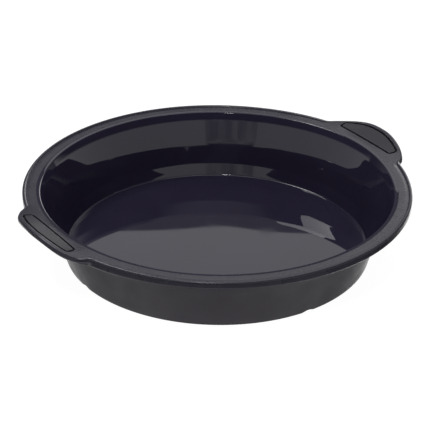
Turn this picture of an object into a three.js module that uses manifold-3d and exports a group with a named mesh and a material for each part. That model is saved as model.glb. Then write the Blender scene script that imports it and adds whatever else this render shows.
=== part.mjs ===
// Round silicone cake mould with an upswept grip on each side.
// Millimetres, Z up. The foot ring stands on z = 0 and the two grips lie along X.
import * as THREE from "three";
import { mergeVertices } from "three/addons/utils/BufferGeometryUtils.js";
import Module from "manifold-3d";

const wasm = await Module();
wasm.setup();
const { smoothstep } = THREE.MathUtils;

// Bowl
const MOUTH_DIAMETER = 260;
const FLOOR_DIAMETER = 225.7;
const RIM_HEIGHT = 51;
const WALL = 1.5;
const FLOOR = 1.6;
const LIP_ROUND = 3.5;
const FLOOR_FILLET = 2.5;

// Bend of the wall to a wider draft, as shares of the way from the floor to the mouth
const BEND_OUT = 0.481;
const BEND_UP = 0.613;
const BEND_ROUND = 45;

// Foot ring and its steam vents
const FOOT_HEIGHT = 1.2;
const FOOT_WIDTH = 9;
const BASE_FILLET = 1.5;
const VENT_COUNT = 4;
const VENT_WIDTH = 9;
const VENT_HEIGHT = 1.1;

// Flange and the bead along its outer edge
const FLANGE_WIDTH = 13.3;
const FLANGE_THICKNESS = 4.9;
const FLANGE_FILLET = 2;
const EDGE_ROUND = 1.2;
const BEAD_WIDTH = 2.7;
const BEAD_RISE = 0.7;
const RIM_SWELL = 1.2;
const RIM_SWELL_LENGTH = 264;

// Grips: the flange drawn outwards and swept up
const GRIP_REACH = 12.4;
const GRIP_WIDTH = 110;
const GRIP_TIP_RADIUS = 84;
const GRIP_CORNER_RADIUS = 43;
const GRIP_ROOT_RADIUS = 3;
const GRIP_RISE_ANGLE = THREE.MathUtils.degToRad(18.5);
const GRIP_RISE_BLEND = 3;
const GRIP_CROWN_WIDTH = 10;
const GRIP_COVE_RUN = 5;
const GRIP_BURY = 0.3;

// Inlays let into the grips
const INLAY_LENGTH = 61;
const INLAY_END_TAPER = 0.8;
const INLAY_SETBACK = 5.8;
const INLAY_MARGIN = 3.9;
const INLAY_CORNER = 0.8;
const INLAY_EDGE = 0.3;
const GROOVE = 1;
const POCKET_DEPTH = 1.3;
const BOND_LINE = 0.3;

// Wire ring inside the rim, and the holes its support pins leave
const RING_WIRE = 1.8;
const RING_CLEARANCE = 0.3;
const RING_COVER = 1;
const RING_COVER_BELOW = 0.6;
const PIN_COUNT = 8;
const PIN_DIAMETER = 2;

// Fineness of the round forms
const TURN_STEPS = 72;
const ROUND_STEPS = 3;
const BEAD_STEPS = 5;
const WIRE_STEPS = 6;
const HOLE_STEPS = 8;
const VENT_STEPS = 32;
const GRIP_STEPS = { along: 5, across: 20, up: 2 };
const INLAY_STEPS = { along: 6, across: 16, up: 2 };

// Corners closer than this are one corner
const MERGE_DISTANCE = 1e-3;

// How far a cutter stands out of what it cuts
const CUT_OVERRUN = 3;

// Sizes that follow
const mouthRadius = MOUTH_DIAMETER / 2;
const floorRadius = FLOOR_DIAMETER / 2;
const rimRadius = mouthRadius + FLANGE_WIDTH;
const floorTop = FOOT_HEIGHT + FLOOR;
const flangeUnder = RIM_HEIGHT - FLANGE_THICKNESS;
const bendRadius = floorRadius + (mouthRadius - floorRadius) * BEND_OUT;
const bendHeight = floorTop + (RIM_HEIGHT - floorTop) * BEND_UP;
const lowerSlope = (bendRadius - floorRadius) / (bendHeight - floorTop);
const upperSlope = (mouthRadius - bendRadius) / (RIM_HEIGHT - bendHeight);
const lowerAcross = WALL * Math.hypot(1, lowerSlope);
const upperAcross = WALL * Math.hypot(1, upperSlope);
const lipOuter = mouthRadius + LIP_ROUND * (Math.hypot(1, upperSlope) - upperSlope);
const outerBendHeight = bendHeight - (upperAcross - lowerAcross) / (upperSlope - lowerSlope);
const outerBendRadius = bendRadius + (outerBendHeight - bendHeight) * lowerSlope + lowerAcross;
const flangeRoot = bendRadius + (flangeUnder - bendHeight) * upperSlope + upperAcross;
const footOuter = floorRadius - floorTop * lowerSlope + lowerAcross;
const footInner = footOuter - FOOT_WIDTH;
const ringBore = RING_WIRE / 2 + RING_CLEARANCE;
const ringRadius = rimRadius - RING_COVER - ringBore;
const ringHeight = flangeUnder + RING_COVER_BELOW + ringBore;

// Solid from a closed geometry.
function toSolid(geometry) {
  const bare = new THREE.BufferGeometry();
  bare.setAttribute("position", geometry.getAttribute("position"));
  bare.setIndex(geometry.index);
  const merged = mergeVertices(bare, MERGE_DISTANCE);
  const corners = merged.index.array;
  const kept = [];
  for (let i = 0; i < corners.length; i += 3) {
    const [a, b, c] = corners.slice(i, i + 3);
    if (a !== b && b !== c && c !== a) kept.push(a, b, c);
  }
  const mesh = new wasm.Mesh({
    numProp: 3,
    vertProperties: new Float32Array(merged.getAttribute("position").array),
    triVerts: new Uint32Array(kept),
  });
  return new wasm.Manifold(mesh);
}

// Geometry from a solid, with flat faces.
function toGeometry(solid) {
  const mesh = solid.getMesh();
  const indexed = new THREE.BufferGeometry();
  indexed.setAttribute("position", new THREE.BufferAttribute(mesh.vertProperties, 3));
  indexed.setIndex(new THREE.BufferAttribute(mesh.triVerts, 1));
  const geometry = indexed.toNonIndexed();
  geometry.computeVertexNormals();
  return geometry;
}

// Unit box cut into steps, each corner sent to its place by a function of three shares from 0 to 1.
function bentBox(steps, place) {
  const box = new THREE.BoxGeometry(1, 1, 1, steps.along, steps.across, steps.up);
  const position = box.getAttribute("position");
  for (let i = 0; i < position.count; i++) {
    const [x, y, z] = place(position.getX(i) + 0.5, position.getY(i) + 0.5, position.getZ(i) + 0.5);
    position.setXYZ(i, x, y, z);
  }
  return box;
}

// Profile through corners given as [radius, height, rounding].
function roundedProfile(corners) {
  const points = [];
  corners.forEach(([r, z, rounding], i) => {
    const corner = new THREE.Vector2(r, z);
    if (!rounding) {
      points.push(corner);
      return;
    }
    const back = new THREE.Vector2(corners[i - 1][0], corners[i - 1][1]).sub(corner).normalize();
    const ahead = new THREE.Vector2(corners[i + 1][0], corners[i + 1][1]).sub(corner).normalize();
    const halfAngle = Math.acos(back.dot(ahead)) / 2;
    const middle = back.clone().add(ahead).normalize();
    const centre = corner.clone().addScaledVector(middle, rounding / Math.sin(halfAngle));
    const start = corner.clone().addScaledVector(back, rounding / Math.tan(halfAngle)).sub(centre);
    const turn = Math.sign(back.cross(ahead)) * (2 * halfAngle - Math.PI);
    for (let k = 0; k <= ROUND_STEPS; k++) {
      points.push(start.clone().rotateAround(new THREE.Vector2(), (turn * k) / ROUND_STEPS).add(centre));
    }
  });
  return points;
}

// Arc of the bead, from the outer face of the rim over the top to the flange.
function beadArc() {
  const radius = BEAD_WIDTH / 2;
  const centreHeight = RIM_HEIGHT + BEAD_RISE - radius;
  const end = Math.PI - Math.asin((RIM_HEIGHT - centreHeight) / radius);
  const points = [];
  for (let k = 0; k <= BEAD_STEPS; k++) {
    const angle = (end * k) / BEAD_STEPS;
    points.push([rimRadius - radius + radius * Math.cos(angle), centreHeight + radius * Math.sin(angle), 0]);
  }
  return points;
}

// Swell of the rim towards the nearer grip, at an angle from the X axis.
function rimSwell(angle) {
  const fromGrip = Math.asin(Math.abs(Math.sin(angle)));
  const reach = RIM_SWELL_LENGTH / 2 / rimRadius;
  return (RIM_SWELL / 2) * (1 + Math.cos((Math.PI * Math.min(fromGrip, reach)) / reach));
}

// Form with what lies above the flange's underside raised by the swell.
function swollen(geometry) {
  const position = geometry.getAttribute("position");
  for (let i = 0; i < position.count; i++) {
    const share = smoothstep(position.getZ(i), flangeUnder, RIM_HEIGHT);
    const angle = Math.atan2(position.getY(i), position.getX(i));
    position.setZ(i, position.getZ(i) + share * rimSwell(angle));
  }
  return geometry;
}

// Bowl, foot ring, flange and bead as one turned form, with the rim swollen at the grips.
function turnedBody() {
  const profile = roundedProfile([
    [0, FOOT_HEIGHT, 0],
    [footInner, FOOT_HEIGHT, 0],
    [footInner, 0, 0],
    [footOuter, 0, BASE_FILLET],
    [outerBendRadius, outerBendHeight, BEND_ROUND - WALL],
    [flangeRoot, flangeUnder, FLANGE_FILLET],
    [rimRadius, flangeUnder, EDGE_ROUND],
    ...beadArc(),
    [mouthRadius, RIM_HEIGHT, LIP_ROUND],
    [bendRadius, bendHeight, BEND_ROUND],
    [floorRadius, floorTop, FLOOR_FILLET],
    [0, floorTop, 0],
  ]);
  return swollen(new THREE.LatheGeometry(profile, TURN_STEPS).rotateX(Math.PI / 2));
}

// Plan of a grip: tip arc, rounded corner and hollow root arc, each touching the next.
function gripPlan() {
  const rootCircle = rimRadius - GRIP_BURY;
  const tipCentre = new THREE.Vector2(rimRadius + GRIP_REACH - GRIP_TIP_RADIUS, 0);
  const cornerY = GRIP_WIDTH / 2 - GRIP_CORNER_RADIUS;
  const cornerSwing = Math.asin(cornerY / (GRIP_TIP_RADIUS - GRIP_CORNER_RADIUS));
  const cornerX = tipCentre.x + (GRIP_TIP_RADIUS - GRIP_CORNER_RADIUS) * Math.cos(cornerSwing);
  const cornerCentre = new THREE.Vector2(cornerX, cornerY);
  const rootReach = rootCircle + GRIP_ROOT_RADIUS;
  const cornerReach = GRIP_CORNER_RADIUS + GRIP_ROOT_RADIUS;
  const apart = cornerCentre.length();
  const along = (rootReach ** 2 - cornerReach ** 2 + apart ** 2) / (2 * apart);
  const aside = Math.sqrt(rootReach ** 2 - along ** 2);
  const rootCentre = new THREE.Vector2(along, aside).rotateAround(new THREE.Vector2(), cornerCentre.angle());
  const tipEnd = new THREE.Vector2(Math.cos(cornerSwing), Math.sin(cornerSwing));
  tipEnd.multiplyScalar(GRIP_TIP_RADIUS).add(tipCentre);
  const cornerEnd = cornerCentre.clone().lerp(rootCentre, GRIP_CORNER_RADIUS / cornerReach);
  return {
    rootCircle,
    tipCentre,
    cornerCentre,
    rootCentre,
    tipAngle: tipEnd.angle(),
    cornerAngle: cornerEnd.angle(),
    endAngle: rootCentre.angle(),
  };
}
const grip = gripPlan();

// Distance from the axis at which a ray leaves (side 1) or meets (side -1) a circle.
function rayToCircle(angle, centre, radius, side) {
  const along = centre.x * Math.cos(angle) + centre.y * Math.sin(angle);
  return along + side * Math.sqrt(Math.max(radius ** 2 - centre.lengthSq() + along ** 2, 0));
}

// Radius of a grip's edge at an angle from its middle.
function gripEdge(angle) {
  const swing = Math.abs(angle);
  if (swing < grip.tipAngle) return rayToCircle(swing, grip.tipCentre, GRIP_TIP_RADIUS, 1);
  if (swing < grip.cornerAngle) return rayToCircle(swing, grip.cornerCentre, GRIP_CORNER_RADIUS, 1);
  if (swing < grip.endAngle) return rayToCircle(swing, grip.rootCentre, GRIP_ROOT_RADIUS, -1);
  return grip.rootCircle;
}

// Rise of a grip's top above the level rim: the swell, and the grip's own sweep from the lip outwards.
function gripRise(radius, angle) {
  const run = Math.max(radius - lipOuter, 0);
  const eased = run < GRIP_RISE_BLEND ? run ** 2 / (2 * GRIP_RISE_BLEND) : run - GRIP_RISE_BLEND / 2;
  const crownEnd = GRIP_CROWN_WIDTH / 2 / rimRadius;
  const fade = 1 - smoothstep(Math.abs(angle), crownEnd, grip.endAngle);
  return rimSwell(angle) + eased * Math.tan(GRIP_RISE_ANGLE) * fade;
}

// One grip, from inside the flange to its tip, with a hollowed underside and a rounded edge.
function gripBody() {
  return bentBox(GRIP_STEPS, (along, across, up) => {
    const angle = (2 * across - 1) * grip.endAngle;
    const rounding = EDGE_ROUND * (1 - Math.sqrt(1 - (2 * up - 1) ** 2));
    const radius = lipOuter + (gripEdge(angle) - rounding - lipOuter) * along;
    const rise = gripRise(radius, angle);
    const cove = smoothstep(radius, rimRadius, rimRadius + GRIP_COVE_RUN);
    const top = RIM_HEIGHT - GRIP_BURY + rise;
    const bottom = flangeUnder + GRIP_BURY + rise * cove;
    return [radius * Math.cos(angle), radius * Math.sin(angle), bottom + (top - bottom) * up];
  });
}

// Plate in the plan of an inlay, grown all round, between two depths below the grip's top.
// Its upper half draws in by the edge.
function inlayPlate(grown, edge, depthBelow, depthAbove) {
  const tipRadius = GRIP_TIP_RADIUS - INLAY_MARGIN - GROOVE;
  return bentBox(INLAY_STEPS, (along, across, up) => {
    const margin = grown - edge * Math.max(2 * up - 1, 0);
    const side = 2 * across - 1;
    const length = INLAY_LENGTH / 2 + margin - INLAY_END_TAPER * (1 - along);
    const innerX = rimRadius - INLAY_SETBACK + GROOVE - margin;
    const outerX = grip.tipCentre.x + Math.sqrt((tipRadius + margin) ** 2 - (side * length) ** 2);
    const fromEdge = Math.min(along, 1 - along) * (outerX - innerX);
    const short = Math.max(INLAY_CORNER - fromEdge, 0);
    const y = side * (length - INLAY_CORNER + Math.sqrt(INLAY_CORNER ** 2 - short ** 2));
    const x = innerX + (outerX - innerX) * along;
    const rise = gripRise(Math.hypot(x, y), Math.atan2(y, x));
    return [x, y, RIM_HEIGHT - GRIP_BURY + rise - depthBelow + (depthBelow - depthAbove) * up];
  });
}

// Cutter of one steam vent, a shallow arch across the foot ring.
function ventCutter(angle) {
  const radius = (VENT_WIDTH ** 2 / 4 + VENT_HEIGHT ** 2) / (2 * VENT_HEIGHT);
  const length = FOOT_WIDTH + 2 * CUT_OVERRUN;
  const cutter = new THREE.CylinderGeometry(radius, radius, length, VENT_STEPS);
  cutter.rotateZ(Math.PI / 2);
  cutter.translate((footInner + footOuter) / 2, 0, VENT_HEIGHT - radius);
  return cutter.rotateZ(angle);
}

// Cutter of one support-pin hole, from under the flange up into the ring's channel.
function pinCutter(angle) {
  const length = RING_COVER_BELOW + ringBore;
  const cutter = new THREE.CylinderGeometry(PIN_DIAMETER / 2, PIN_DIAMETER / 2, length, HOLE_STEPS);
  cutter.rotateX(Math.PI / 2);
  cutter.translate(ringRadius, 0, ringHeight - length / 2 - RING_CLEARANCE);
  return cutter.rotateZ(angle);
}

// Ring of a wire thickness, lying in the rim.
function ring(wireRadius) {
  return new THREE.TorusGeometry(ringRadius, wireRadius, WIRE_STEPS, TURN_STEPS).translate(0, 0, ringHeight);
}

// Body: turned form and grips, less the pockets, the ring's channel, the pin holes and the vents.
function mouldBody() {
  const added = [toSolid(turnedBody())];
  const taken = [toSolid(ring(ringBore))];
  for (const turn of [0, Math.PI]) {
    added.push(toSolid(gripBody().rotateZ(turn)));
    taken.push(toSolid(inlayPlate(GROOVE, 0, POCKET_DEPTH, -CUT_OVERRUN).rotateZ(turn)));
  }
  for (let i = 0; i < VENT_COUNT; i++) {
    taken.push(toSolid(ventCutter((2 * Math.PI * i) / VENT_COUNT)));
  }
  for (let i = 0; i < PIN_COUNT; i++) {
    taken.push(toSolid(pinCutter((2 * Math.PI * (i + 0.5)) / PIN_COUNT)));
  }
  return toGeometry(wasm.Manifold.union(added).subtract(wasm.Manifold.union(taken)));
}

// Inlay of a grip, resting on its bond line.
function gripInlay() {
  return inlayPlate(0, INLAY_EDGE, POCKET_DEPTH - BOND_LINE, 0);
}

// Named mesh with its own material.
function piece(name, geometry, colour, roughness, metalness) {
  const material = new THREE.MeshStandardMaterial({ color: colour, roughness, metalness });
  const mesh = new THREE.Mesh(geometry, material);
  mesh.name = name;
  return mesh;
}

const mould = new THREE.Group();
mould.name = "cake_mould";
mould.add(piece("mould_body", mouldBody(), 0x3f3d43, 0.5, 0));
mould.add(piece("rim_ring", ring(RING_WIRE / 2), 0xb9bcc0, 0.3, 1));
mould.add(piece("grip_inlay_right", gripInlay(), 0x47454b, 0.6, 0));
mould.add(piece("grip_inlay_left", gripInlay().rotateZ(Math.PI), 0x47454b, 0.6, 0));

export default mould;
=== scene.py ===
"""Looks of a round silicone cake mould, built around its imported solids. Lengths are in metres."""

import math

import bpy
import numpy as np
from mathutils import Matrix, Vector


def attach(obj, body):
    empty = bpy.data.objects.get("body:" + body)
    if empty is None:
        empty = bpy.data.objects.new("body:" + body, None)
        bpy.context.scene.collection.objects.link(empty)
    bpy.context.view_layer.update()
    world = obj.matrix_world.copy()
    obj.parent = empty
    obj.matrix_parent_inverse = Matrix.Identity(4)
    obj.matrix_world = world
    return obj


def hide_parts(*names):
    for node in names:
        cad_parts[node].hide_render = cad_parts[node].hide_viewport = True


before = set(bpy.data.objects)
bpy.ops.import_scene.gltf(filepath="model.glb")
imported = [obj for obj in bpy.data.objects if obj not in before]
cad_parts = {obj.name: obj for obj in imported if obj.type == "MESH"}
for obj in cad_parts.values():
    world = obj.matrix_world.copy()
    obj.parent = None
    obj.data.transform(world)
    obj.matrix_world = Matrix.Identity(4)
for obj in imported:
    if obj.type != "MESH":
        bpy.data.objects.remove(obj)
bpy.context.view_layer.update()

MM = 0.001

# Bowl
MOUTH_RADIUS = 130 * MM
FLOOR_RADIUS = 112.85 * MM
RIM_HEIGHT = 51 * MM
FLOOR_TOP = 2.8 * MM
WALL = 1.5 * MM
LOWER_SLOPE = math.tan(math.radians(15.6))
UPPER_SLOPE = math.tan(math.radians(25.5))
BEND_ROUND = 45 * MM
LIP_ROUND = 3.5 * MM
FLOOR_FILLET = 1.1 * MM
TOE_HEIGHT = 12 * MM
TOE_SLOPE = math.tan(math.radians(19.5))
TOE_ROUND = 12 * MM
BELLY_HEIGHT = 28.6 * MM
BELLY_SLOPE = math.tan(math.radians(23.1))
BROW_HEIGHT = 46 * MM
BROW_SLOPE = math.tan(math.radians(29.5))
BROW_ROUND = 28 * MM

# Foot
FOOT_HEIGHT = 1.2 * MM
FOOT_WIDTH = 9 * MM
BASE_FILLET = 1.5 * MM
VENT_WIDTH = 11 * MM
VENT_HEIGHT = 1.7 * MM
VENT_MARGIN = 1 * MM
FOOT_ROUND = 0.4 * MM
FOOT_DRAFT = 0.3 * MM
GATE_RADIUS = 4 * MM
GATE_RISE = 0.35 * MM
GATE_ROUND = 0.3 * GATE_RISE

# Flange and bead
FLANGE_UNDER = 46.1 * MM
RIM_RADIUS = 143.3 * MM
FLANGE_FILLET = 2 * MM
EDGE_ROUND = 1.2 * MM
BEAD_RADIUS = 1.35 * MM
BEAD_RISE = 0.7 * MM
BEAD_BACK_START = 102
BEAD_BACK_END = 174
BEAD_GROOVE_WIDTH = 3 * MM
BEAD_GROOVE_DEPTH = 0.4 * MM
LIP_ROLL_RADIUS = 132.2 * MM
LIP_ROLL_SLOPE = math.tan(math.radians(9))
LIP_ROLL_ROUND = 15 * MM
LIP_EDGE_ROUND = 1.4 * MM
LIP_FLARE = 0.6 * MM
LIP_START = 133.8 * MM
FLAT_END = LIP_START + 0.2 * MM
LIP_POLISH_RADIUS = 133.2 * MM
RIM_SWELL = 1.2 * MM
SWELL_FOOT = 10 * MM
RIM_SWELL_REACH = 132 * MM / RIM_RADIUS

# Grips
GRIP_REACH = 12.4 * MM
GRIP_WIDTH = 110 * MM
GRIP_TIP_RADIUS = 84 * MM
GRIP_CORNER_RADIUS = 43 * MM
GRIP_ROOT_RADIUS = 3 * MM
GRIP_RISE_ANGLE = math.radians(18.5)
GRIP_RISE_BLEND = 3 * MM
GRIP_CROWN_WIDTH = 10 * MM
GRIP_COVE_RUN = 5 * MM
GRIP_BURY = 0.3 * MM
GRIP_EDGE_ROUND = 2.3 * MM
GRIP_FADE = math.radians(4)

# Inlays and their pockets
INLAY_LENGTH = 60.6 * MM
INLAY_END_TAPER = 0.8 * MM
INLAY_SETBACK = 5.8 * MM
INLAY_MARGIN = 3.9 * MM
INLAY_CORNER = 0.8 * MM
INLAY_EDGE = 0.35 * MM
GROOVE = 1.4 * MM
POCKET_DEPTH = 1.3 * MM
BOND_LINE = 0.3 * MM
POCKET_DRAFT = 0.04 * MM
POCKET_LIP = 0.3 * MM
LEAST_MARGIN = 1.5 * POCKET_LIP

# Rounding of a pocket's lip along its sides and at its ends, as shares of the lip's width
LIP_SHARES = np.array([0.7, 0.3, 0])
LIP_DROPS = np.array([0.03, 0.18, 0.5])
END_SHARE = 0.4
END_DROPS = (0.4, 0.1)

# Polished surface's departure from a true form, with the ranges over which each one starts and ends.
# A bump is its x, y, spread and height in millimetres, a wave its count round the turn, phase and share.
FLOOR_BUMPS = [(40, 51, 24, 0.08), (73.5, 22.4, 16, -0.035)]
FLOOR_BUMP_END = (FLOOR_RADIUS - 9 * MM, FLOOR_RADIUS - 3 * MM)
TOE_BULGE = 0.05 * MM
TOE_BULGE_ANGLE = math.radians(20)
TOE_BULGE_END = (TOE_HEIGHT + 2 * MM, 30 * MM)
GRIP_PULL = 0.35 * MM
GRIP_PULL_START = (12 * MM, 30 * MM)
GRIP_PULL_END = (30 * MM, 44 * MM)
GRIP_PULL_NEAR = (0.08, 0.22)
GRIP_PULL_FAR = (0.2, 0.7)
WALL_WAVE = 0.02 * MM
WALL_WAVE_START = (8 * MM, 20 * MM)
WALL_WAVE_END = (36 * MM, 46 * MM)
WALL_WAVES = [(7, 0.6, 1), (13, 2.0, 0.6)]
BASE_LEAN = (0.33 * MM, -0.22 * MM)

# Fineness of the meshes
ROUND_STEPS = 6
INNER_ROUND_STEPS = 14
UNDER_STRETCH = 4 * MM
INNER_STRETCH = 3 * MM
GRIP_COLUMNS = 34
BEND_COLUMNS = 9
TAB_END_COLUMNS = 30
TAB_END_ANGLE = 21
PLAIN_COLUMNS = 100
PLAIN_EASE = 0.55
INLAY_COLUMNS = 30
INLAY_END_SHARE = 0.1
INLAY_EDGE_SHARES = np.array([0, 0.012, 0.035, 0.07])
INLAY_MIDDLE_SHARES = np.linspace(0.12, 0.88, 12)
SHARP_ANGLE = math.radians(38)

# Camera, fitted to the photograph
LENS_TO_PICTURE = 1650 / 430
SENSOR = 36
CAMERA_AZIMUTH = math.radians(-34.4)
CAMERA_ELEVATION = math.radians(28.055)
CAMERA_DISTANCE = 1.22914
CAMERA_AIM = Vector((-1.29 * MM, 0.86 * MM, 26.13 * MM))
CAMERA_ROLL = math.radians(0.739)
CAMERA_FAR_END = 20

# Matt silicone: scale of its noises, and how much each one changes
NOISE_MIDDLE = (0.3, 0.7)
TONE_SCALE = 22
ROUGH_SCALE = 60
ROUGH_SPREAD = 0.05
COARSE_SCALE = 260
COARSE_STRENGTH = 0.12
COARSE_DEPTH = 0.12 * MM
GRAIN_STRENGTH = 0.25
GRAIN_DEPTH = 0.05 * MM
MATT_IOR = 1.43

# Polished silicone
POLISHED_TONE_SCALE = 16
POLISHED_DARK = (0.0195, 0.016, 0.034, 1)
POLISHED_LIGHT = (0.0235, 0.0195, 0.040, 1)
POLISHED_IOR = 1.45
SMEAR_SCALE = 35
SMEAR_RANGE = (0.45, 0.8)
SMEAR_ROUGHNESS = (0.012, 0.035)

# Drawn wire
WIRE_LINE_SCALE = 9000
WIRE_PATCH_SCALE = 120
WIRE_DARK = (0.5, 0.51, 0.53, 1)
WIRE_LIGHT = (0.63, 0.64, 0.65, 1)
WIRE_ROUGHNESS = (0.22, 0.42)
WIRE_LINE_STRENGTH = 0.2
WIRE_LINE_DEPTH = 0.02 * MM

# Table top under the object
TABLE_HALF_SIDE = 8
TABLE_DROP = 0.05 * MM
TABLE_TONE_SCALE = 3
TABLE_DARK = (0.14, 0.14, 0.14, 1)
TABLE_LIGHT = (0.16, 0.16, 0.16, 1)
TABLE_ROUGHNESS = 0.9
TABLE_GLOW = 0.97

# Lights: where they hang to the side of, away from and above the object, their size and their strength
SOFTBOX_SPOT = (-0.57, 0.48, 1.3)
SOFTBOX_SIZE = (0.46, 0.48)
SOFTBOX_RADIANCE = 11.0
FRONT_SPOT = (-0.135, -0.93, 1.11)
FRONT_SIZE = (0.13, 0.13)
FRONT_RADIANCE = 66

# Studio that the polished bowl mirrors. Heights are the sine of the angle over the horizon, and places to
# the rear and to the side are measured alike. An edge (foot, top, end or side of a thing with one sharpness)
# is its place and how far it softens to either side; a range is where a change starts and where it ends.
REAR_START = (0.0, 0.25)
PANEL_FOOT = (math.sin(math.radians(28.6)), 0.0006)
PANEL_LEVEL = 1.25
PANEL_TOP = (0.78, 0.88)
PANEL_TOP_SHARE = 0.2
PANEL_TOP_SLANT = 0.9
PANEL_SIDE = (0.3, 0.5)
SCREEN_LEVEL = 1.1
SCREEN_TOP = (0.24, 0.05)
SCREEN_SLANT = 0.21
SCREEN_FOOT = (math.sin(math.radians(-5)), 0.03)
SCREEN_END = (0.54, 0.02)
SCREEN_TURN = 0.115
GAP_LEFT = (-0.42, 0.03)
GAP_RIGHT = (0.13, 0.04)
GAP_RISE = (0.13, 0.19)
GAP_LEVELS = (0.1, 0.8)
MOTTLE_SCALE = 9
MOTTLE_RANGE = (0.35, 0.65)
MOTTLE_LEVELS = (0.6, 1.1)
SWEEP_LEVEL = 2.9
SWEEP_TOP = (math.sin(math.radians(22)), 0.04)
SWEEP_START = (0.54, 0.64)
SWEEP_LEFT = (0.1, 0.03)
SWEEP_RIGHT = (0.4, 0.6)
TABLE_LEVEL = 1.2
TABLE_EDGE = (math.sin(math.radians(-36)), 0.12)
TABLE_REAR = (0.0, 0.4)
TABLE_REAR_SHARE = 0.3
TABLE_SHADE = (-1.0, -0.85)
TABLE_SHADE_SHARE = 0.2
BACKDROP_LEVEL = 0.9
BACKDROP_TOP = (math.sin(math.radians(-20)), 0.08)
BACKDROP_START = (0.37, 0.7)
BACKDROP_SIDE = (-0.3, 0.3)
BACKDROP_SIDE_SHARES = (2, 0.4)
ZENITH_RISE = (0.92, 0.96)
ZENITH_LEVEL = 2.2
ROOM_REAR = (0.5, 0.7)
ROOM_LEVELS = (0.05, 0.2)


def smooth(value, low, high):
    """0 below low, 1 above high, with an even ease between them."""
    share = np.clip((value - low) / (high - low), 0, 1)
    return share * share * (3 - 2 * share)


def arc(centre, radius, start, end, count):
    """Points of a circular arc in the section plane, with its angles in degrees."""
    turn = np.radians(np.linspace(start, end, count))
    return np.stack([centre[0] + radius * np.cos(turn), centre[1] + radius * np.sin(turn)], 1)


def rounded(corners, steps):
    """A section line through (radius, height, rounding) corners, with points along each rounding."""
    line = [np.array(corners[0][:2])]
    for before, corner, after in zip(corners, corners[1:], corners[2:]):
        point = np.array(corner[:2])
        rounding = corner[2]
        back = np.array(before[:2]) - point
        ahead = np.array(after[:2]) - point
        back = back / np.linalg.norm(back)
        ahead = ahead / np.linalg.norm(ahead)
        half = math.acos(np.clip(back @ ahead, -1, 1)) / 2
        bisector = (back + ahead) / np.linalg.norm(back + ahead)
        centre = point + bisector * rounding / math.sin(half)
        first = point + back * rounding / math.tan(half) - centre
        last = point + ahead * rounding / math.tan(half) - centre
        sweep = math.pi - 2 * half
        for share in np.linspace(0, 1, steps):
            mixed = (math.sin((1 - share) * sweep) * first + math.sin(share * sweep) * last) / math.sin(sweep)
            line.append(centre + mixed)
    line.append(np.array(corners[-1][:2]))
    return np.array(line)


def divided(line, longest):
    """The same section line with no stretch longer than the given length."""
    points = [line[0]]
    for start, end in zip(line, line[1:]):
        count = max(1, math.ceil(np.linalg.norm(end - start) / longest))
        for step in range(1, count + 1):
            points.append(start + (end - start) * step / count)
    return np.array(points)


def bend_point(offset):
    """Corner between the wall's two drafts, on the surface that lies an offset outside the inner one."""
    low = FLOOR_RADIUS - FLOOR_TOP * LOWER_SLOPE + offset * math.hypot(1, LOWER_SLOPE)
    high = MOUTH_RADIUS - RIM_HEIGHT * UPPER_SLOPE + offset * math.hypot(1, UPPER_SLOPE)
    height = (low - high) / (UPPER_SLOPE - LOWER_SLOPE)
    return low + height * LOWER_SLOPE, height, BEND_ROUND


def rim_swell(offset):
    """Height that the rim gains towards the middle of a grip, by angle from that middle."""
    held = np.minimum(offset, RIM_SWELL_REACH)
    return RIM_SWELL / 2 * (1 + np.cos(np.pi * held / RIM_SWELL_REACH))


class GripPlan:
    """Circles of a grip's outline in plan, and the angles at which one hands over to the next."""

    def __init__(self):
        self.root = RIM_RADIUS - GRIP_BURY
        self.tip_centre = np.array([RIM_RADIUS + GRIP_REACH - GRIP_TIP_RADIUS, 0.0])
        corner_side = GRIP_WIDTH / 2 - GRIP_CORNER_RADIUS
        inner_radius = GRIP_TIP_RADIUS - GRIP_CORNER_RADIUS
        swing = math.asin(corner_side / inner_radius)
        heading = np.array([math.cos(swing), math.sin(swing)])
        self.corner_centre = self.tip_centre + inner_radius * heading
        root_reach = self.root + GRIP_ROOT_RADIUS
        corner_reach = GRIP_CORNER_RADIUS + GRIP_ROOT_RADIUS
        apart = np.linalg.norm(self.corner_centre)
        along = (root_reach ** 2 - corner_reach ** 2 + apart ** 2) / (2 * apart)
        aside = math.sqrt(root_reach ** 2 - along ** 2)
        unit = self.corner_centre / apart
        self.root_centre = along * unit + aside * np.array([-unit[1], unit[0]])
        tip_end = self.tip_centre + GRIP_TIP_RADIUS * heading
        share = GRIP_CORNER_RADIUS / corner_reach
        corner_end = self.corner_centre + share * (self.root_centre - self.corner_centre)
        self.tip_angle = math.atan2(tip_end[1], tip_end[0])
        self.corner_angle = math.atan2(corner_end[1], corner_end[0])
        self.end_angle = math.atan2(self.root_centre[1], self.root_centre[0])

    def edge(self, offset):
        """Radius of the outline at an angle from the grip's middle."""
        if offset < self.tip_angle:
            return ray_to_circle(offset, self.tip_centre, GRIP_TIP_RADIUS, 1)
        if offset < self.corner_angle:
            return ray_to_circle(offset, self.corner_centre, GRIP_CORNER_RADIUS, 1)
        if offset < self.end_angle:
            return ray_to_circle(offset, self.root_centre, GRIP_ROOT_RADIUS, -1)
        return self.root


def ray_to_circle(angle, centre, radius, side):
    """Distance from the axis to a circle, on its far side for 1 and its near side for -1."""
    along = centre[0] * math.cos(angle) + centre[1] * math.sin(angle)
    return along + side * math.sqrt(max(radius ** 2 - centre @ centre + along ** 2, 0))


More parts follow.
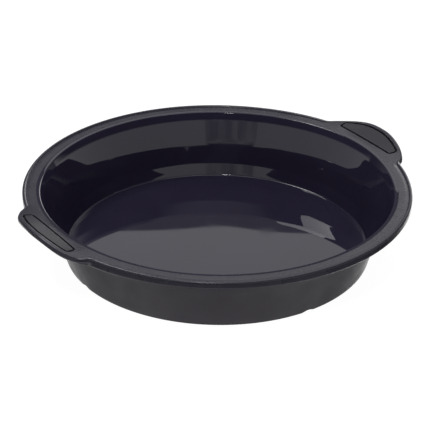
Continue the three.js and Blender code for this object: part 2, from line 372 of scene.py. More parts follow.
PLAN = GripPlan()
GRIP_FADE_START = PLAN.end_angle - GRIP_FADE
LIP_TURN = math.acos(UPPER_SLOPE / math.hypot(1, UPPER_SLOPE))
LIP_OUTER = MOUTH_RADIUS + LIP_ROUND * math.tan(LIP_TURN / 2)
FOOT_OUTER = FLOOR_RADIUS - FLOOR_TOP * LOWER_SLOPE + WALL * math.hypot(1, LOWER_SLOPE)
FLANGE_ROOT = MOUTH_RADIUS - (RIM_HEIGHT - FLANGE_UNDER) * UPPER_SLOPE + WALL * math.hypot(1, UPPER_SLOPE)
FOOT_INNER = FOOT_OUTER - FOOT_WIDTH


def grip_rise(radius, offset):
    """Height of a grip's top face above the flat of the flange."""
    run = np.maximum(radius - LIP_OUTER, 0)
    eased = np.where(run < GRIP_RISE_BLEND, run ** 2 / (2 * GRIP_RISE_BLEND), run - GRIP_RISE_BLEND / 2)
    fade = 1 - smooth(offset, GRIP_CROWN_WIDTH / 2 / RIM_RADIUS, PLAN.end_angle)
    sunk = GRIP_BURY * smooth(run, 0, 2 * GRIP_RISE_BLEND)
    return rim_swell(offset) + (eased * math.tan(GRIP_RISE_ANGLE) - sunk) * fade


def inlay_span(offset, margin):
    """Inner and outer radius of an inlay's outline, grown by a margin, at an angle from the grip's middle."""
    end = inlay_end(margin)
    held = min(offset, end)
    middle = RIM_RADIUS - INLAY_SETBACK + GROOVE - margin
    inner = middle / math.cos(held)
    outer = ray_to_circle(held, PLAN.tip_centre, GRIP_TIP_RADIUS - INLAY_MARGIN - GROOVE + margin, 1)
    corner = INLAY_CORNER + margin
    left = (end - held) * inner
    inset = 0
    if left < corner:
        inset = corner - math.sqrt(corner ** 2 - (corner - left) ** 2)
    return inner + inset, outer - inset


def inlay_end(margin):
    """Angle from the grip's middle at which an inlay's outline, grown by a margin, ends."""
    half = (INLAY_LENGTH - INLAY_END_TAPER) / 2 + margin
    return math.atan2(half, RIM_RADIUS - INLAY_SETBACK / 2)


POCKET_END = inlay_end(GROOVE)

# Rows of points in the rim's section, from the flange's underside over the edge to the lip
UNDER_ROWS = 7
LOW_EDGE_ROWS = 6
TOP_EDGE_ROWS = 6
MARGIN_ROWS = 2
LIP_ROWS = 3
WALL_ROWS = 2
POCKET_ROWS = 3
FLAT_ROWS = 6


def plain_rim():
    """Section of the rim away from the grips, from its underside over the bead to the start of the lip."""
    bead_centre = (RIM_RADIUS - BEAD_RADIUS, RIM_HEIGHT + BEAD_RISE - BEAD_RADIUS)
    low_centre = (RIM_RADIUS - EDGE_ROUND, FLANGE_UNDER + EDGE_ROUND)
    foot = RIM_RADIUS - 2 * BEAD_RADIUS
    groove_low = RIM_HEIGHT - BEAD_GROOVE_DEPTH
    rows = [arc(low_centre, EDGE_ROUND, -90, 0, UNDER_ROWS)]
    heights = np.linspace(low_centre[1], bead_centre[1], LOW_EDGE_ROWS + 2)[1:-1]
    rows.append(np.stack([np.full(LOW_EDGE_ROWS, RIM_RADIUS), heights], 1))
    rows.append(arc(bead_centre, BEAD_RADIUS, 0, 90, TOP_EDGE_ROWS))
    inner_count = MARGIN_ROWS + LIP_ROWS + WALL_ROWS
    rows.append(arc(bead_centre, BEAD_RADIUS, BEAD_BACK_START, BEAD_BACK_END, inner_count))
    groove_count = POCKET_ROWS + WALL_ROWS + LIP_ROWS
    share = np.linspace(0, 1, groove_count)
    radii = foot - BEAD_GROOVE_WIDTH * share
    fall = np.cos(np.pi / 2 * share) ** 2
    rows.append(np.stack([radii, RIM_HEIGHT + (groove_low - RIM_HEIGHT) * fall], 1))
    flat = np.linspace(radii[-1], FLAT_END, FLAT_ROWS + 1)[1:]
    rows.append(np.stack([flat, np.full(FLAT_ROWS, RIM_HEIGHT)], 1))
    return np.concatenate(rows)


def pocket_end_angles():
    """Angles from the grip's middle of the columns that round the pocket's end."""
    lip = POCKET_LIP / RIM_RADIUS
    wall = POCKET_DRAFT / RIM_RADIUS
    return [POCKET_END - wall, POCKET_END, POCKET_END + END_SHARE * lip, POCKET_END + lip]


def pocket_depth(offset):
    """Depth of the pocket's floor at an angle from the grip's middle; its end wall stands at POCKET_END."""
    drops = [share * POCKET_LIP for share in END_DROPS]
    return np.interp(offset, pocket_end_angles(), [POCKET_DEPTH, *drops, 0])


def grip_rim(offset):
    """Section of the rim through a grip at an angle from its middle, row for row like plain_rim."""
    edge = PLAN.edge(offset)
    edge_start = edge - GRIP_EDGE_ROUND
    depth = pocket_depth(offset)
    inner, outer = inlay_span(offset, GROOVE)
    outer = min(outer, edge_start - LEAST_MARGIN)
    inner = min(inner, outer - GROOVE)

    def top(radius):
        return RIM_HEIGHT + grip_rise(radius, offset)

    def under(radius):
        cove = smooth(radius, RIM_RADIUS, RIM_RADIUS + GRIP_COVE_RUN)
        return FLANGE_UNDER + grip_rise(radius, offset) * cove

    turn = np.radians(np.linspace(0, 90, LOW_EDGE_ROWS))
    low_radii = edge_start + GRIP_EDGE_ROUND * np.sin(turn)
    top_radii = edge_start + GRIP_EDGE_ROUND * np.cos(turn)
    under_radii = np.linspace(RIM_RADIUS - EDGE_ROUND, edge_start, UNDER_ROWS + 1)[:-1]
    margin_radii = np.linspace(edge_start, outer + POCKET_LIP, MARGIN_ROWS + 1)[1:]
    lip = LIP_SHARES * POCKET_LIP
    lip_drop = np.minimum(LIP_DROPS * POCKET_LIP, depth)
    wall_drop = np.array([min(POCKET_LIP, depth), depth])
    wall_shift = np.array([0, POCKET_DRAFT])
    floor_radii = np.linspace(outer - POCKET_DRAFT, inner + POCKET_DRAFT, POCKET_ROWS + 2)[1:-1]
    flat_radii = np.linspace(inner - POCKET_LIP, FLAT_END, FLAT_ROWS)
    pieces = [
        (under_radii, under(under_radii)),
        (low_radii, under(low_radii) + GRIP_EDGE_ROUND * (1 - np.cos(turn))),
        (top_radii, top(top_radii) - GRIP_EDGE_ROUND * (1 - np.sin(turn))),
        (margin_radii, top(margin_radii)),
        (outer + lip, top(outer + lip) - lip_drop),
        (outer - wall_shift, top(outer - wall_shift) - wall_drop),
        (floor_radii, top(floor_radii) - depth),
        (inner + wall_shift[::-1], top(inner + wall_shift[::-1]) - wall_drop[::-1]),
        (inner - lip[::-1], top(inner - lip[::-1]) - lip_drop[::-1]),
        (flat_radii, top(flat_radii)),
    ]
    radii = np.concatenate([piece[0] for piece in pieces])
    heights = np.concatenate([piece[1] for piece in pieces])
    return np.stack([radii, heights], 1)


def under_section():
    """Section of the body from the middle of its underside out to the flange's underside."""
    corners = [
        (0, FOOT_HEIGHT - GATE_RISE),
        (GATE_RADIUS, FOOT_HEIGHT - GATE_RISE, GATE_ROUND),
        (GATE_RADIUS + GATE_RISE, FOOT_HEIGHT, GATE_ROUND),
        (FOOT_INNER, FOOT_HEIGHT, FOOT_ROUND),
        (FOOT_INNER + FOOT_DRAFT, 0, FOOT_ROUND),
        (FOOT_OUTER, 0, BASE_FILLET),
        bend_point(WALL),
        (FLANGE_ROOT, FLANGE_UNDER, FLANGE_FILLET),
        (RIM_RADIUS - 2 * EDGE_ROUND, FLANGE_UNDER),
    ]
    return divided(rounded(corners, ROUND_STEPS), UNDER_STRETCH)


def inner_section():
    """Section of the bowl from the flange's inner margin over the lip, wall and floor to the middle."""
    mouth = MOUTH_RADIUS + LIP_FLARE
    brow = mouth - (RIM_HEIGHT - BROW_HEIGHT) * BROW_SLOPE
    belly = brow - (BROW_HEIGHT - BELLY_HEIGHT) * BELLY_SLOPE
    toe = FLOOR_RADIUS + (TOE_HEIGHT - FLOOR_TOP) * TOE_SLOPE
    lip_drop = (LIP_ROLL_RADIUS - mouth) / (1 / LIP_ROLL_SLOPE - BROW_SLOPE)
    corners = [
        (LIP_START, RIM_HEIGHT),
        (LIP_ROLL_RADIUS, RIM_HEIGHT, LIP_ROLL_ROUND),
        (mouth - lip_drop * BROW_SLOPE, RIM_HEIGHT - lip_drop, LIP_EDGE_ROUND),
        (brow, BROW_HEIGHT, BROW_ROUND),
        (belly, BELLY_HEIGHT, BEND_ROUND),
        (toe, TOE_HEIGHT, TOE_ROUND),
        (FLOOR_RADIUS, FLOOR_TOP, FLOOR_FILLET),
        (0, FLOOR_TOP),
    ]
    return divided(rounded(corners, INNER_ROUND_STEPS), INNER_STRETCH)


def bend_angles(end, corner):
    """Angles of the columns that round a corner, closer together towards its end."""
    return end - corner * (1 - np.sin(np.linspace(0, np.pi / 2, BEND_COLUMNS)))[1:-1]


def quarter_offsets():
    """Angles of the mesh columns from the middle of a grip to the middle between the grips."""
    corner = (INLAY_CORNER + GROOVE) / RIM_RADIUS
    grip = np.linspace(0, POCKET_END - corner, GRIP_COLUMNS)
    bend = bend_angles(POCKET_END, corner)
    step = pocket_end_angles()
    tab_end = np.linspace(step[-1], math.radians(TAB_END_ANGLE), TAB_END_COLUMNS)[1:]
    share = np.linspace(0, 1, PLAIN_COLUMNS)[1:]
    eased = share - PLAIN_EASE * np.sin(2 * np.pi * share) / (2 * np.pi)
    plain = np.radians(TAB_END_ANGLE + (90 - TAB_END_ANGLE) * eased)
    return np.concatenate([grip, bend, step, tab_end, plain])


def column_angles():
    """Angles of all mesh columns once round the body."""
    quarter = quarter_offsets()
    half = np.concatenate([quarter, np.pi - quarter[-2::-1]])
    return np.concatenate([half[:-1], np.pi + half[:-1]])


def vent_height(across):
    """Height of a vent's arch over the table, by the distance across from its middle."""
    radius = (VENT_WIDTH ** 2 / 4 + VENT_HEIGHT ** 2) / (2 * VENT_HEIGHT)
    inside = np.abs(across) < VENT_WIDTH / 2
    reach = np.where(inside, across, 0)
    return np.where(inside, np.sqrt(radius ** 2 - reach ** 2) - radius + VENT_HEIGHT, 0)


def cut_vents(points, rows):
    """Raises the foot where the four vents cross it."""
    foot = points[:rows]
    distance = np.hypot(foot[..., 0], foot[..., 1])
    across = np.where(np.abs(foot[..., 0]) > np.abs(foot[..., 1]), foot[..., 1], foot[..., 0])
    on_foot = (distance > FOOT_INNER - VENT_MARGIN) & (foot[..., 2] < FOOT_HEIGHT + VENT_MARGIN)
    arch = np.where(on_foot, vent_height(across), 0)
    foot[..., 2] = np.maximum(foot[..., 2], arch)


def body_points():
    """Points of the body by row and column, and the rows at which the rim and the polished bowl start."""
    angles = column_angles()
    offsets = np.arcsin(np.clip(np.abs(np.sin(angles)), 0, 1))
    below = under_section()
    plain = plain_rim()
    inside = inner_section()
    columns = []
    for angle, offset in zip(angles, offsets):
        swell = rim_swell(offset)
        weight = 1 - smooth(offset, GRIP_FADE_START, PLAN.end_angle)
        lifted = plain.copy()
        lifted[:, 1] += swell * smooth(plain[:, 1], FLANGE_UNDER, RIM_HEIGHT)
        rim = weight * grip_rim(offset) + (1 - weight) * lifted
        bowl = inside.copy()
        bowl[:, 1] += swell * smooth(inside[:, 1], SWELL_FOOT, RIM_HEIGHT)
        bowl[:, 1] += weight * (grip_rise(inside[:, 0], offset) - swell)
        section = np.concatenate([below, rim, bowl])
        heading = np.array([math.cos(angle), math.sin(angle)])
        flat = section[:, :1] * heading
        columns.append(np.concatenate([flat, section[:, 1:]], 1))
    points = np.stack(columns, 1)
    cut_vents(points, len(below))
    polished = len(below) + len(plain) + int(np.argmax(inside[:, 0] < LIP_POLISH_RADIUS))
    return points, len(below), polished


def uneven_bowl(points, polished):
    """Gives the bowl's floor and wall the slight unevenness of a flexible moulding."""
    bowl = points[polished:]
    radius = np.hypot(bowl[..., 0], bowl[..., 1])
    angle = np.arctan2(bowl[..., 1], bowl[..., 0])
    on_floor = 1 - smooth(radius, *FLOOR_BUMP_END)
    for x, y, spread, rise in FLOOR_BUMPS:
        distance = (bowl[..., 0] - x * MM) ** 2 + (bowl[..., 1] - y * MM) ** 2
        bowl[..., 2] += rise * MM * np.exp(-distance / (2 * (spread * MM) ** 2)) * on_floor
    height = bowl[..., 2]
    on_toe = np.clip((height - FLOOR_TOP) / (TOE_HEIGHT - FLOOR_TOP), 0, 1)
    on_toe = on_toe * (1 - smooth(height, *TOE_BULGE_END))
    bulge = TOE_BULGE * on_toe * np.clip(np.cos(angle - TOE_BULGE_ANGLE), 0, 1) ** 2
    pulled = smooth(height, *GRIP_PULL_START) * (1 - smooth(height, *GRIP_PULL_END))
    from_grip = np.abs(np.sin(angle))
    reach = 1 - (smooth(from_grip, *GRIP_PULL_NEAR) + smooth(from_grip, *GRIP_PULL_FAR)) / 2
    bulge -= GRIP_PULL * pulled * reach
    on_wall = smooth(height, *WALL_WAVE_START) * (1 - smooth(height, *WALL_WAVE_END))
    waves = sum(share * np.sin(count * angle + phase) for count, phase, share in WALL_WAVES)
    ripple = WALL_WAVE * on_wall * waves
    bowl[..., 0] += (ripple + bulge) * np.cos(angle)
    bowl[..., 1] += (ripple + bulge) * np.sin(angle)


def lean(points):
    """Sets the bowl's base slightly aside of its rim."""
    share = np.clip(1 - points[..., 2] / RIM_HEIGHT, 0, 1)
    points[..., 0] += BASE_LEAN[0] * share
    points[..., 1] += BASE_LEAN[1] * share


def mesh_object(name, vertices, faces, materials, face_materials=None):
    """A smooth mesh whose sharp edges stay sharp."""
    mesh = bpy.data.meshes.new(name)
    mesh.from_pydata(vertices, [], faces)
    for material in materials:
        mesh.materials.append(material)
    mesh.polygons.foreach_set("use_smooth", [True] * len(faces))
    if face_materials is not None:
        mesh.polygons.foreach_set("material_index", face_materials)
    mesh.set_sharp_from_angle(angle=SHARP_ANGLE)
    mesh.update()
    piece = bpy.data.objects.new(name, mesh)
    bpy.context.scene.collection.objects.link(piece)
    return piece


# Places of the body's materials on its mesh
# Outer wall and underside take the same silicone as the flange, with its colour painted lighter as painted
# light from the table
OUTSIDE_PAINTED_LIGHT_FACE = 0
POLISHED_FACE = 1
FLANGE_FACE = 2
# Pocket faces take a near-black silicone: painted shade in the grooves round the plates
POCKET_SHADE_FACE = 3


def row_finish(row, rim_start, polished):
    """Material of a row of the body's faces outside the pockets."""
    if row < rim_start:
        return OUTSIDE_PAINTED_LIGHT_FACE
    if row < polished:
        return FLANGE_FACE
    return POLISHED_FACE


def body_piece(materials):
    """The one-piece moulding: bowl, foot, flange, bead and both grips with their pockets."""
    points, rim_start, polished = body_points()
    uneven_bowl(points, polished)
    lean(points)
    rows, columns = points.shape[:2]
    first = points[0, 0]
    last = points[-1].mean(0)
    ring_rows = points[1:-1]
    vertices = [tuple(first)] + [tuple(p) for p in ring_rows.reshape(-1, 3)] + [tuple(last)]
    top_index = len(vertices) - 1

    def index(row, column):
        return 1 + (row - 1) * columns + column % columns

    in_pocket = np.arcsin(np.abs(np.sin(column_angles()))) < POCKET_END
    beside_pocket = in_pocket | np.roll(in_pocket, -1)
    pocket_start = rim_start + UNDER_ROWS + LOW_EDGE_ROWS + TOP_EDGE_ROWS + MARGIN_ROWS + LIP_ROWS
    pocket_stop = pocket_start + 2 * WALL_ROWS + POCKET_ROWS

    faces = []
    face_materials = []
    for column in range(columns):
        faces.append((0, index(1, column + 1), index(1, column)))
        face_materials.append(OUTSIDE_PAINTED_LIGHT_FACE)
    for row in range(1, rows - 2):
        finish = row_finish(row, rim_start, polished)
        in_pocket_row = pocket_start <= row < pocket_stop
        for column in range(columns):
            near = index(row, column)
            next_near = index(row, column + 1)
            faces.append((near, next_near, index(row + 1, column + 1), index(row + 1, column)))
            # Faces in the pocket rows beside a pocket get the near-black painted-shade material
            sunk = in_pocket_row and beside_pocket[column]
            face_materials.append(POCKET_SHADE_FACE if sunk else finish)
    for column in range(columns):
        faces.append((top_index, index(rows - 2, column), index(rows - 2, column + 1)))
        face_materials.append(POLISHED_FACE)
    return mesh_object("body_skin", vertices, faces, materials, face_materials)


def inlay_piece(name, turn, material):
    """A plate with eased edges that lies flush in a grip's pocket."""
    end = inlay_end(0)
    corner = INLAY_CORNER / RIM_RADIUS
    edge = INLAY_EDGE / RIM_RADIUS
    straight = np.linspace(0, end - corner - edge, INLAY_COLUMNS)
    bend = bend_angles(end, corner + edge)
    half = np.concatenate([straight, bend, [end - INLAY_END_SHARE * edge]])
    angles = np.concatenate([-half[:0:-1], half])
    shares = np.concatenate([INLAY_EDGE_SHARES, INLAY_MIDDLE_SHARES, 1 - INLAY_EDGE_SHARES[::-1]])
    columns = []
    for angle in angles:
        offset = abs(angle)
        inner, outer = inlay_span(offset, 0)
        radii = inner + (outer - inner) * shares
        gap = np.minimum(np.minimum(radii - inner, outer - radii), (end - offset) * RIM_RADIUS)
        ease = np.clip(1 - gap / INLAY_EDGE, 0, 1)
        drop = INLAY_EDGE * (1 - np.sqrt(1 - ease ** 2))
        top = RIM_HEIGHT + grip_rise(radii, offset) - drop
        bottom = RIM_HEIGHT + grip_rise(radii, offset) - POCKET_DEPTH + BOND_LINE
        x = radii * math.cos(angle + turn)
        y = radii * math.sin(angle + turn)
        columns.append((np.stack([x, y, top], 1), np.stack([x, y, bottom], 1)))
    count = len(angles)
    across = len(shares)
    vertices = []
    for upper, lower in columns:
        vertices.extend(map(tuple, upper))
        vertices.extend(map(tuple, lower))

    def quad(corners, flip):
        """A face through (column, level, row) corners, turned over where flip is set."""
        loop = tuple((2 * column + level) * across + row for column, level, row in corners)
        return loop[::-1] if flip else loop

    faces = []
    for column in range(count - 1):
        after = column + 1
        for row in range(across - 1):
            for level, flip in ((0, False), (1, True)):
                near = [(column, level, row), (column, level, row + 1)]
                far = [(after, level, row + 1), (after, level, row)]
                faces.append(quad(near + far, flip))
        for row, flip in ((0, False), (across - 1, True)):
            side = [(column, 0, row), (after, 0, row), (after, 1, row), (column, 1, row)]
            faces.append(quad(side, flip))
    for column, flip in ((0, True), (count - 1, False)):
        for row in range(across - 1):
            end_face = [(column, 0, row), (column, 0, row + 1), (column, 1, row + 1), (column, 1, row)]
            faces.append(quad(end_face, flip))
    return mesh_object(name, vertices, faces, [material])


class Nodes:
    """A node tree with short ways to add and join nodes."""

    # Places of the colour sockets on a mix node
    MIX_INPUTS = (6, 7)
    MIX_OUTPUT = 2

    def __init__(self, tree):
        self.tree = tree
        self.tree.nodes.clear()

    def add(self, kind, settings=None, inputs=None):
        """A new node with its settings, and with each input either joined or set to a value."""
        node = self.tree.nodes.new(kind)
        for key, value in (settings or {}).items():
            setattr(node, key, value)
        for key, value in (inputs or {}).items():
            if isinstance(value, bpy.types.NodeSocket):
                self.tree.links.new(value, node.inputs[key])
            else:
                node.inputs[key].default_value = value
        return node

    def noise(self, vector, scale, detail=3, roughness=0.55):
        values = {"Vector": vector, "Scale": scale, "Detail": detail, "Roughness": roughness}
        return self.add("ShaderNodeTexNoise", None, values).outputs["Fac"]

    def span(self, value, low, high, to_low, to_high):
        """Maps value from low..high to to_low..to_high, held at both ends."""
        inputs = {"Value": value, "From Min": low, "From Max": high, "To Min": to_low, "To Max": to_high}
        return self.add("ShaderNodeMapRange", {"interpolation_type": "SMOOTHSTEP"}, inputs).outputs["Result"]

    def edge(self, value, edge, below, above):
        """Passes from one value to another across an edge."""
        place, softness = edge
        return self.span(value, place - softness, place + softness, below, above)

    def blend(self, share, first, second):
        """Colour between two colours, by a noise's share."""
        inputs = {"Factor": share, self.MIX_INPUTS[0]: first, self.MIX_INPUTS[1]: second}
        return self.add("ShaderNodeMix", {"data_type": "RGBA"}, inputs).outputs[self.MIX_OUTPUT]

    def math(self, operation, *values):
        return self.add("ShaderNodeMath", {"operation": operation}, dict(enumerate(values))).outputs[0]

    def along(self, way, heading):
        """How far a direction points along a heading."""
        inputs = {0: way, 1: heading}
        return self.add("ShaderNodeVectorMath", {"operation": "DOT_PRODUCT"}, inputs).outputs["Value"]

    def product(self, first, *others):
        for other in others:
            first = self.math("MULTIPLY", first, other)
        return first

    def largest(self, first, *others):
        for other in others:
            first = self.math("MAXIMUM", first, other)
        return first

    def bump(self, height, strength, distance, normal=None):
        inputs = {"Height": height, "Strength": strength, "Distance": distance}
        if normal is not None:
            inputs["Normal"] = normal
        return self.add("ShaderNodeBump", None, inputs).outputs["Normal"]


def new_material(name):
    material = bpy.data.materials.new(name)
    material.use_nodes = True
    return material, Nodes(material.node_tree)


def matt_silicone(name, dark, light, roughness, specular, grain):
    """Silicone with the fine grain of a spark-eroded tool face."""
    material, nodes = new_material(name)
    place = nodes.add("ShaderNodeTexCoord").outputs["Object"]
    tone = nodes.span(nodes.noise(place, TONE_SCALE, detail=4), *NOISE_MIDDLE, 0, 1)
    colour = nodes.blend(tone, dark, light)
    patches = nodes.noise(place, ROUGH_SCALE, detail=4)
    rough = nodes.span(patches, *NOISE_MIDDLE, roughness - ROUGH_SPREAD, roughness + ROUGH_SPREAD)
    coarse = nodes.bump(nodes.noise(place, COARSE_SCALE, detail=2), COARSE_STRENGTH, COARSE_DEPTH)
    fine = nodes.bump(nodes.noise(place, grain, detail=2), GRAIN_STRENGTH, GRAIN_DEPTH, coarse)
    shader = nodes.add("ShaderNodeBsdfPrincipled", None, {
        "Base Color": colour, "Roughness": rough, "IOR": MATT_IOR,
        "Specular IOR Level": specular, "Normal": fine})
    nodes.add("ShaderNodeOutputMaterial", None, {"Surface": shader.outputs[0]})
    return material


# Matt silicone of the outer wall and underside: the same silicone as the flange, its base colour painted
# lighter to stand in for light from the table below
def outside_silicone_painted_light():
    return matt_silicone(
        "silicone_outside_painted_light", dark=(0.050, 0.0445, 0.056, 1), light=(0.058, 0.0525, 0.064, 1),
        roughness=0.45, specular=0.42, grain=2600)


def flange_silicone():
    return matt_silicone(
        "silicone_flange", dark=(0.027, 0.0255, 0.041, 1), light=(0.032, 0.0305, 0.047, 1),
        roughness=0.27, specular=0.65, grain=2600)


def inlay_silicone():
    return matt_silicone(
        "inlay_matt", dark=(0.025, 0.024, 0.033, 1), light=(0.030, 0.029, 0.039, 1),
        roughness=0.42, specular=0.45, grain=3400)


# Near-black silicone for the grooves round the plates: painted shade standing in for the shade that falls in
# these narrow recesses
def painted_shade_groove_silicone():
    return matt_silicone(
        "silicone_groove_painted_shade", dark=(0.004, 0.0035, 0.006, 1), light=(0.006, 0.005, 0.008, 1),
        roughness=0.6, specular=0.2, grain=2600)


def polished_silicone():
    """Silicone moulded against a polished tool face, with the faint smears of handling."""
    material, nodes = new_material("silicone_polished")
    place = nodes.add("ShaderNodeTexCoord").outputs["Object"]
    tone = nodes.span(nodes.noise(place, POLISHED_TONE_SCALE, detail=4), *NOISE_MIDDLE, 0, 1)
    colour = nodes.blend(tone, POLISHED_DARK, POLISHED_LIGHT)
    smear = nodes.noise(place, SMEAR_SCALE, detail=5, roughness=0.6)
    rough = nodes.span(smear, *SMEAR_RANGE, *SMEAR_ROUGHNESS)
    shader = nodes.add("ShaderNodeBsdfPrincipled", None, {
        "Base Color": colour, "Roughness": rough, "IOR": POLISHED_IOR})
    nodes.add("ShaderNodeOutputMaterial", None, {"Surface": shader.outputs[0]})
    return material


def drawn_wire():
    """Steel wire with draw lines that run along it round the rim."""
    material, nodes = new_material("wire_steel")
    place = nodes.add("ShaderNodeTexCoord").outputs["Object"]
    parts = nodes.add("ShaderNodeSeparateXYZ", None, {"Vector": place})
    flat = nodes.add("ShaderNodeCombineXYZ", None, {"X": parts.outputs["X"], "Y": parts.outputs["Y"]})
    distance = nodes.add("ShaderNodeVectorMath", {"operation": "LENGTH"}, {0: flat.outputs[0]})
    lines = nodes.add("ShaderNodeCombineXYZ", None, {
        "X": distance.outputs["Value"], "Y": parts.outputs["Z"]})
    drawn = nodes.noise(lines.outputs[0], WIRE_LINE_SCALE)
    patch = nodes.noise(place, WIRE_PATCH_SCALE)
    colour = nodes.blend(patch, WIRE_DARK, WIRE_LIGHT)
    rough = nodes.span(drawn, *NOISE_MIDDLE, *WIRE_ROUGHNESS)
    shader = nodes.add("ShaderNodeBsdfPrincipled", None, {
        "Base Color": colour, "Metallic": 1, "Roughness": rough,
        "Normal": nodes.bump(drawn, WIRE_LINE_STRENGTH, WIRE_LINE_DEPTH)})
    nodes.add("ShaderNodeOutputMaterial", None, {"Surface": shader.outputs[0]})
    return material


def floor_material():
    """A pale table top that stays white under the light."""
    material, nodes = new_material("pale_floor")
    place = nodes.add("ShaderNodeTexCoord").outputs["Object"]
    tone = nodes.blend(nodes.noise(place, TABLE_TONE_SCALE, detail=2), TABLE_DARK, TABLE_LIGHT)
    shader = nodes.add("ShaderNodeBsdfPrincipled", None, {
        "Base Color": tone, "Roughness": TABLE_ROUGHNESS, "Specular IOR Level": 0,
        "Emission Color": (1, 1, 1, 1), "Emission Strength": TABLE_GLOW})
    nodes.add("ShaderNodeOutputMaterial", None, {"Surface": shader.outputs[0]})
    return material


def add_floor():
    """The table top, which neither mirrors nor lights the object; the studio does both."""
    half = TABLE_HALF_SIDE
    corners = [(-half, -half, 0), (half, -half, 0), (half, half, 0), (-half, half, 0)]
    floor = mesh_object("floor", corners, [(0, 1, 2, 3)], [floor_material()])
    floor.location.z = -TABLE_DROP
    floor.visible_glossy = False
    floor.visible_diffuse = False


def soft_light(name, spot, size, radiance):
    """A soft light that faces the object from its spot."""
    width, length = size
    light = bpy.data.lights.new(name, "AREA")
    light.shape = "RECTANGLE"
    light.size = width
    light.size_y = length
    light.energy = radiance * math.pi * width * length
    lamp = bpy.data.objects.new(name, light)
    bpy.context.scene.collection.objects.link(lamp)
    upright = Matrix.Rotation(CAMERA_AZIMUTH, 4, "Z")
    facing = (-Vector(spot)).to_track_quat("-Z", "Y").to_matrix().to_4x4()
    lamp.matrix_world = upright @ Matrix.Translation(spot) @ facing
    lamp.visible_camera = False
    return lamp


def flat_light(name, spot, size, radiance):
    """A soft light that hangs level and shines straight down."""
    lamp = soft_light(name, spot, size, radiance)
    lamp.matrix_world = Matrix.Rotation(CAMERA_AZIMUTH, 4, "Z") @ Matrix.Translation(spot)


def panel_level(nodes, rise, behind, beside):
    """A bright panel high behind the object."""
    slant = nodes.math("MULTIPLY_ADD", beside, -PANEL_TOP_SLANT, rise)
    return nodes.product(
        nodes.edge(rise, PANEL_FOOT, 0, PANEL_LEVEL),
        nodes.span(behind, *REAR_START, 0, 1),
        nodes.span(slant, *PANEL_TOP, 1, PANEL_TOP_SHARE),
        nodes.span(nodes.math("ABSOLUTE", beside), *PANEL_SIDE, 1, 0))


def screen_level(nodes, way, rise, behind, beside):
    """Two white screens at either side of the camera, with a mottled gap between them."""
    slant = nodes.math("MULTIPLY_ADD", behind, SCREEN_SLANT, rise)
    reach = nodes.math("MULTIPLY_ADD", beside, -SCREEN_TURN, behind)
    mottle = nodes.span(nodes.noise(way, MOTTLE_SCALE), *MOTTLE_RANGE, *MOTTLE_LEVELS)
    gap = nodes.product(nodes.span(rise, *GAP_RISE, *GAP_LEVELS), mottle)
    left = nodes.edge(beside, GAP_LEFT, 1, 0)
    right = nodes.edge(beside, GAP_RIGHT, 0, 1)
    return nodes.product(
        nodes.edge(slant, SCREEN_TOP, 1, 0),
        nodes.edge(rise, SCREEN_FOOT, 0, 1),
        nodes.edge(reach, SCREEN_END, 1, 0),
        nodes.largest(left, right, gap), SCREEN_LEVEL)


def sweep_level(nodes, rise, behind, beside):
    """A low bright sweep behind the object and to its right."""
    return nodes.product(
        nodes.edge(rise, SWEEP_TOP, SWEEP_LEVEL, 0),
        nodes.span(behind, *SWEEP_START, 0, 1),
        nodes.edge(beside, SWEEP_LEFT, 0, 1),
        nodes.span(beside, *SWEEP_RIGHT, 1, 0))


def table_level(nodes, rise, behind):
    """The pale table, darker to the rear and right under the object."""
    return nodes.product(
        nodes.edge(rise, TABLE_EDGE, TABLE_LEVEL, 0),
        nodes.span(behind, *TABLE_REAR, 1, TABLE_REAR_SHARE),
        nodes.span(rise, *TABLE_SHADE, TABLE_SHADE_SHARE, 1))


def backdrop_level(nodes, rise, behind, beside):
    """The backdrop's foot behind the table, brighter to the left."""
    return nodes.product(
        nodes.edge(rise, BACKDROP_TOP, BACKDROP_LEVEL, 0),
        nodes.span(behind, *BACKDROP_START, 0, 1),
        nodes.span(beside, *BACKDROP_SIDE, *BACKDROP_SIDE_SHARES))


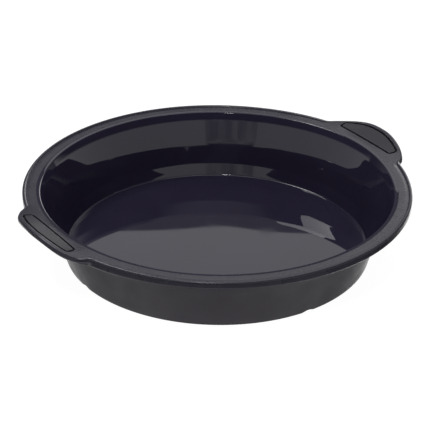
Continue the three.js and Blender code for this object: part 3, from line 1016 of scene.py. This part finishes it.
def studio_world():
    """A dark room with a panel, screens, a sweep, a table, a backdrop and a bright ceiling."""
    world = bpy.data.worlds.new("studio")
    bpy.context.scene.world = world
    world.use_nodes = True
    nodes = Nodes(world.node_tree)
    way = nodes.add("ShaderNodeTexCoord").outputs["Generated"]
    rise = nodes.add("ShaderNodeSeparateXYZ", None, {"Vector": way}).outputs["Z"]
    turn = CAMERA_AZIMUTH
    behind = nodes.along(way, (-math.sin(turn), math.cos(turn), 0))
    beside = nodes.along(way, (math.cos(turn), math.sin(turn), 0))
    level = nodes.largest(
        panel_level(nodes, rise, behind, beside),
        screen_level(nodes, way, rise, behind, beside),
        sweep_level(nodes, rise, behind, beside),
        table_level(nodes, rise, behind),
        backdrop_level(nodes, rise, behind, beside),
        nodes.span(rise, *ZENITH_RISE, 0, ZENITH_LEVEL),
        nodes.span(behind, *ROOM_REAR, *ROOM_LEVELS))
    surround = nodes.add("ShaderNodeBackground", None, {"Strength": level})
    nodes.add("ShaderNodeOutputWorld", None, {"Surface": surround.outputs[0]})


def add_camera():
    data = bpy.data.cameras.new("camera")
    data.sensor_width = SENSOR
    data.lens = SENSOR * LENS_TO_PICTURE
    data.clip_end = CAMERA_FAR_END
    camera = bpy.data.objects.new("camera", data)
    bpy.context.scene.collection.objects.link(camera)
    level = math.cos(CAMERA_ELEVATION)
    back = Vector((math.sin(CAMERA_AZIMUTH) * level, -math.cos(CAMERA_AZIMUTH) * level,
                   math.sin(CAMERA_ELEVATION)))
    camera.location = CAMERA_AIM + CAMERA_DISTANCE * back
    facing = (-back).to_track_quat("-Z", "Y").to_matrix().to_4x4()
    camera.rotation_euler = (facing @ Matrix.Rotation(CAMERA_ROLL, 4, "Z")).to_euler()
    bpy.context.scene.camera = camera


def add_object():
    """The body and the plates in place of their solids, and the wire ring's own solid in steel."""
    # Outer silicone with painted light: a lighter copy of the flange silicone
    outside = outside_silicone_painted_light()
    flange = flange_silicone()
    inlay = inlay_silicone()
    # Near-black painted shade for the pocket grooves
    groove_shade_material = painted_shade_groove_silicone()
    body = body_piece([outside, polished_silicone(), flange, groove_shade_material])
    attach(body, "root")
    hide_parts("mould_body")
    for side, turn in (("right", 0), ("left", math.pi)):
        plate = inlay_piece("plate_" + side, turn, inlay)
        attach(plate, "root")
        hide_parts("grip_inlay_" + side)
    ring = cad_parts["rim_ring"]
    ring.data.materials.clear()
    ring.data.materials.append(drawn_wire())


bpy.context.scene.view_settings.view_transform = "Standard"
add_floor()
add_object()
studio_world()
flat_light("softbox", SOFTBOX_SPOT, SOFTBOX_SIZE, SOFTBOX_RADIANCE)
soft_light("front_light", FRONT_SPOT, FRONT_SIZE, FRONT_RADIANCE)
add_camera()
